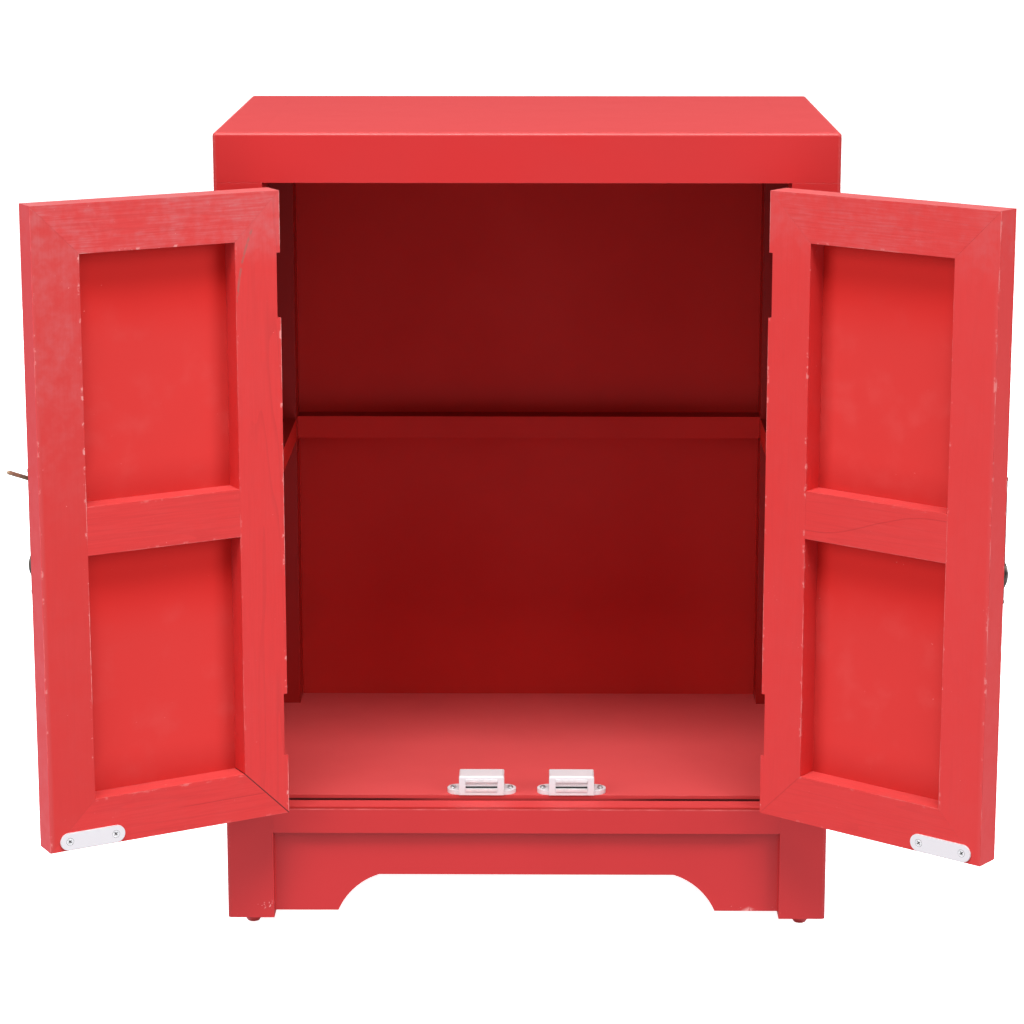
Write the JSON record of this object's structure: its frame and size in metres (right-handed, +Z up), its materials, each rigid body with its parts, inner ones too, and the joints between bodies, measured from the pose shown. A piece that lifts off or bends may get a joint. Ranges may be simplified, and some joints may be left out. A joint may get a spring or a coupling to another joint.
{
  "type": "nightstand",
  "caption": "Red lacquered East Asian nightstand: flush post-and-rail cabinet with two framed doors, ring pulls, arched aprons and magnetic catches.",
  "frame": {"origin": "middle of the cabinet's footprint, on the floor", "axes": "+Z up, +X to the right seen from the front, +Y to the back, so the doors open towards -Y"},
  "size_m": [0.698, 0.4374, 0.6],
  "materials": {
    "red_lacquer": "satin red lacquer, worn on the arrises",
    "aged_brass": "dark aged brass",
    "brass": "plain brass",
    "steel": "zinc plated",
    "white_plastic": "gloss",
    "ferrite": "matt"
  },
  "bodies": {
    "cabinet": {"back_panel": "red_lacquer", "bottom_board": "red_lacquer", "bottom_rail_back": "red_lacquer", "bottom_rail_front": "red_lacquer", "bottom_rail_left": "red_lacquer", "bottom_rail_right": "red_lacquer", "catch_housing_left": "white_plastic", "catch_housing_right": "white_plastic", "catch_magnets": "ferrite", "catch_poles": "steel", "foot_glides": "red_lacquer", "frame_hinge_leaves": "brass", "frame_screws": "steel", "front_apron": "red_lacquer", "hinge_pins": "brass", "left_apron": "red_lacquer", "left_panel": "red_lacquer", "post_back_left": "red_lacquer", "post_back_right": "red_lacquer", "post_front_left": "red_lacquer", "post_front_right": "red_lacquer", "right_apron": "red_lacquer", "right_panel": "red_lacquer", "shelf_bearer_back": "red_lacquer", "shelf_bearer_left": "red_lacquer", "shelf_bearer_right": "red_lacquer", "top_board": "red_lacquer", "top_rail_back": "red_lacquer", "top_rail_front": "red_lacquer", "top_rail_left": "red_lacquer", "top_rail_right": "red_lacquer"},
    "left_door": {"left_door_bottom_rail": "red_lacquer", "left_door_hinge_leaves": "brass", "left_door_hinge_stile": "red_lacquer", "left_door_lower_panel": "red_lacquer", "left_door_meeting_stile": "red_lacquer", "left_door_middle_rail": "red_lacquer", "left_door_plate_nails": "aged_brass", "left_door_pull_eyes": "aged_brass", "left_door_pull_plate": "aged_brass", "left_door_screws": "steel", "left_door_strike_plate": "white_plastic", "left_door_top_rail": "red_lacquer", "left_door_upper_panel": "red_lacquer"},
    "right_door": {"right_door_bottom_rail": "red_lacquer", "right_door_hinge_leaves": "brass", "right_door_hinge_stile": "red_lacquer", "right_door_lower_panel": "red_lacquer", "right_door_meeting_stile": "red_lacquer", "right_door_middle_rail": "red_lacquer", "right_door_plate_nails": "aged_brass", "right_door_pull_eyes": "aged_brass", "right_door_pull_plate": "aged_brass", "right_door_screws": "steel", "right_door_strike_plate": "white_plastic", "right_door_top_rail": "red_lacquer", "right_door_upper_panel": "red_lacquer"},
    "left_ring": {"left_door_ring": "aged_brass"},
    "right_ring": {"right_door_ring": "aged_brass"},
    "lock_pin": {"left_door_lock_pin": "aged_brass"}
  },
  "joints": [
    {"name": "left_door_hinge", "type": "hinge", "parent": "cabinet", "child": "left_door", "pos_m": [-0.1881, -0.1533, 0.33025], "axis": [0, 0, 1], "range_deg": [-20, 150]},
    {"name": "right_door_hinge", "type": "hinge", "parent": "cabinet", "child": "right_door", "pos_m": [0.1881, -0.1533, 0.33025], "axis": [0, 0, 1], "range_deg": [-141.5, 28.5]},
    {"name": "left_ring_swing", "type": "hinge", "parent": "left_door", "child": "left_ring", "pos_m": [-0.33571, -0.23483, 0.31925], "axis": [0.866, 0.5, 0], "range_deg": [-5, 100]},
    {"name": "right_ring_swing", "type": "hinge", "parent": "right_door", "child": "right_ring", "pos_m": [0.32204, -0.25575, 0.31925], "axis": [0.7826, -0.6225, 0], "range_deg": [-5, 100]},
    {"name": "lock_pin_slide", "type": "slide", "parent": "left_door", "child": "lock_pin", "axis": [-0.803, -0.4636, 0.3746], "range_m": [-0.018, 0.025]}
  ]
}
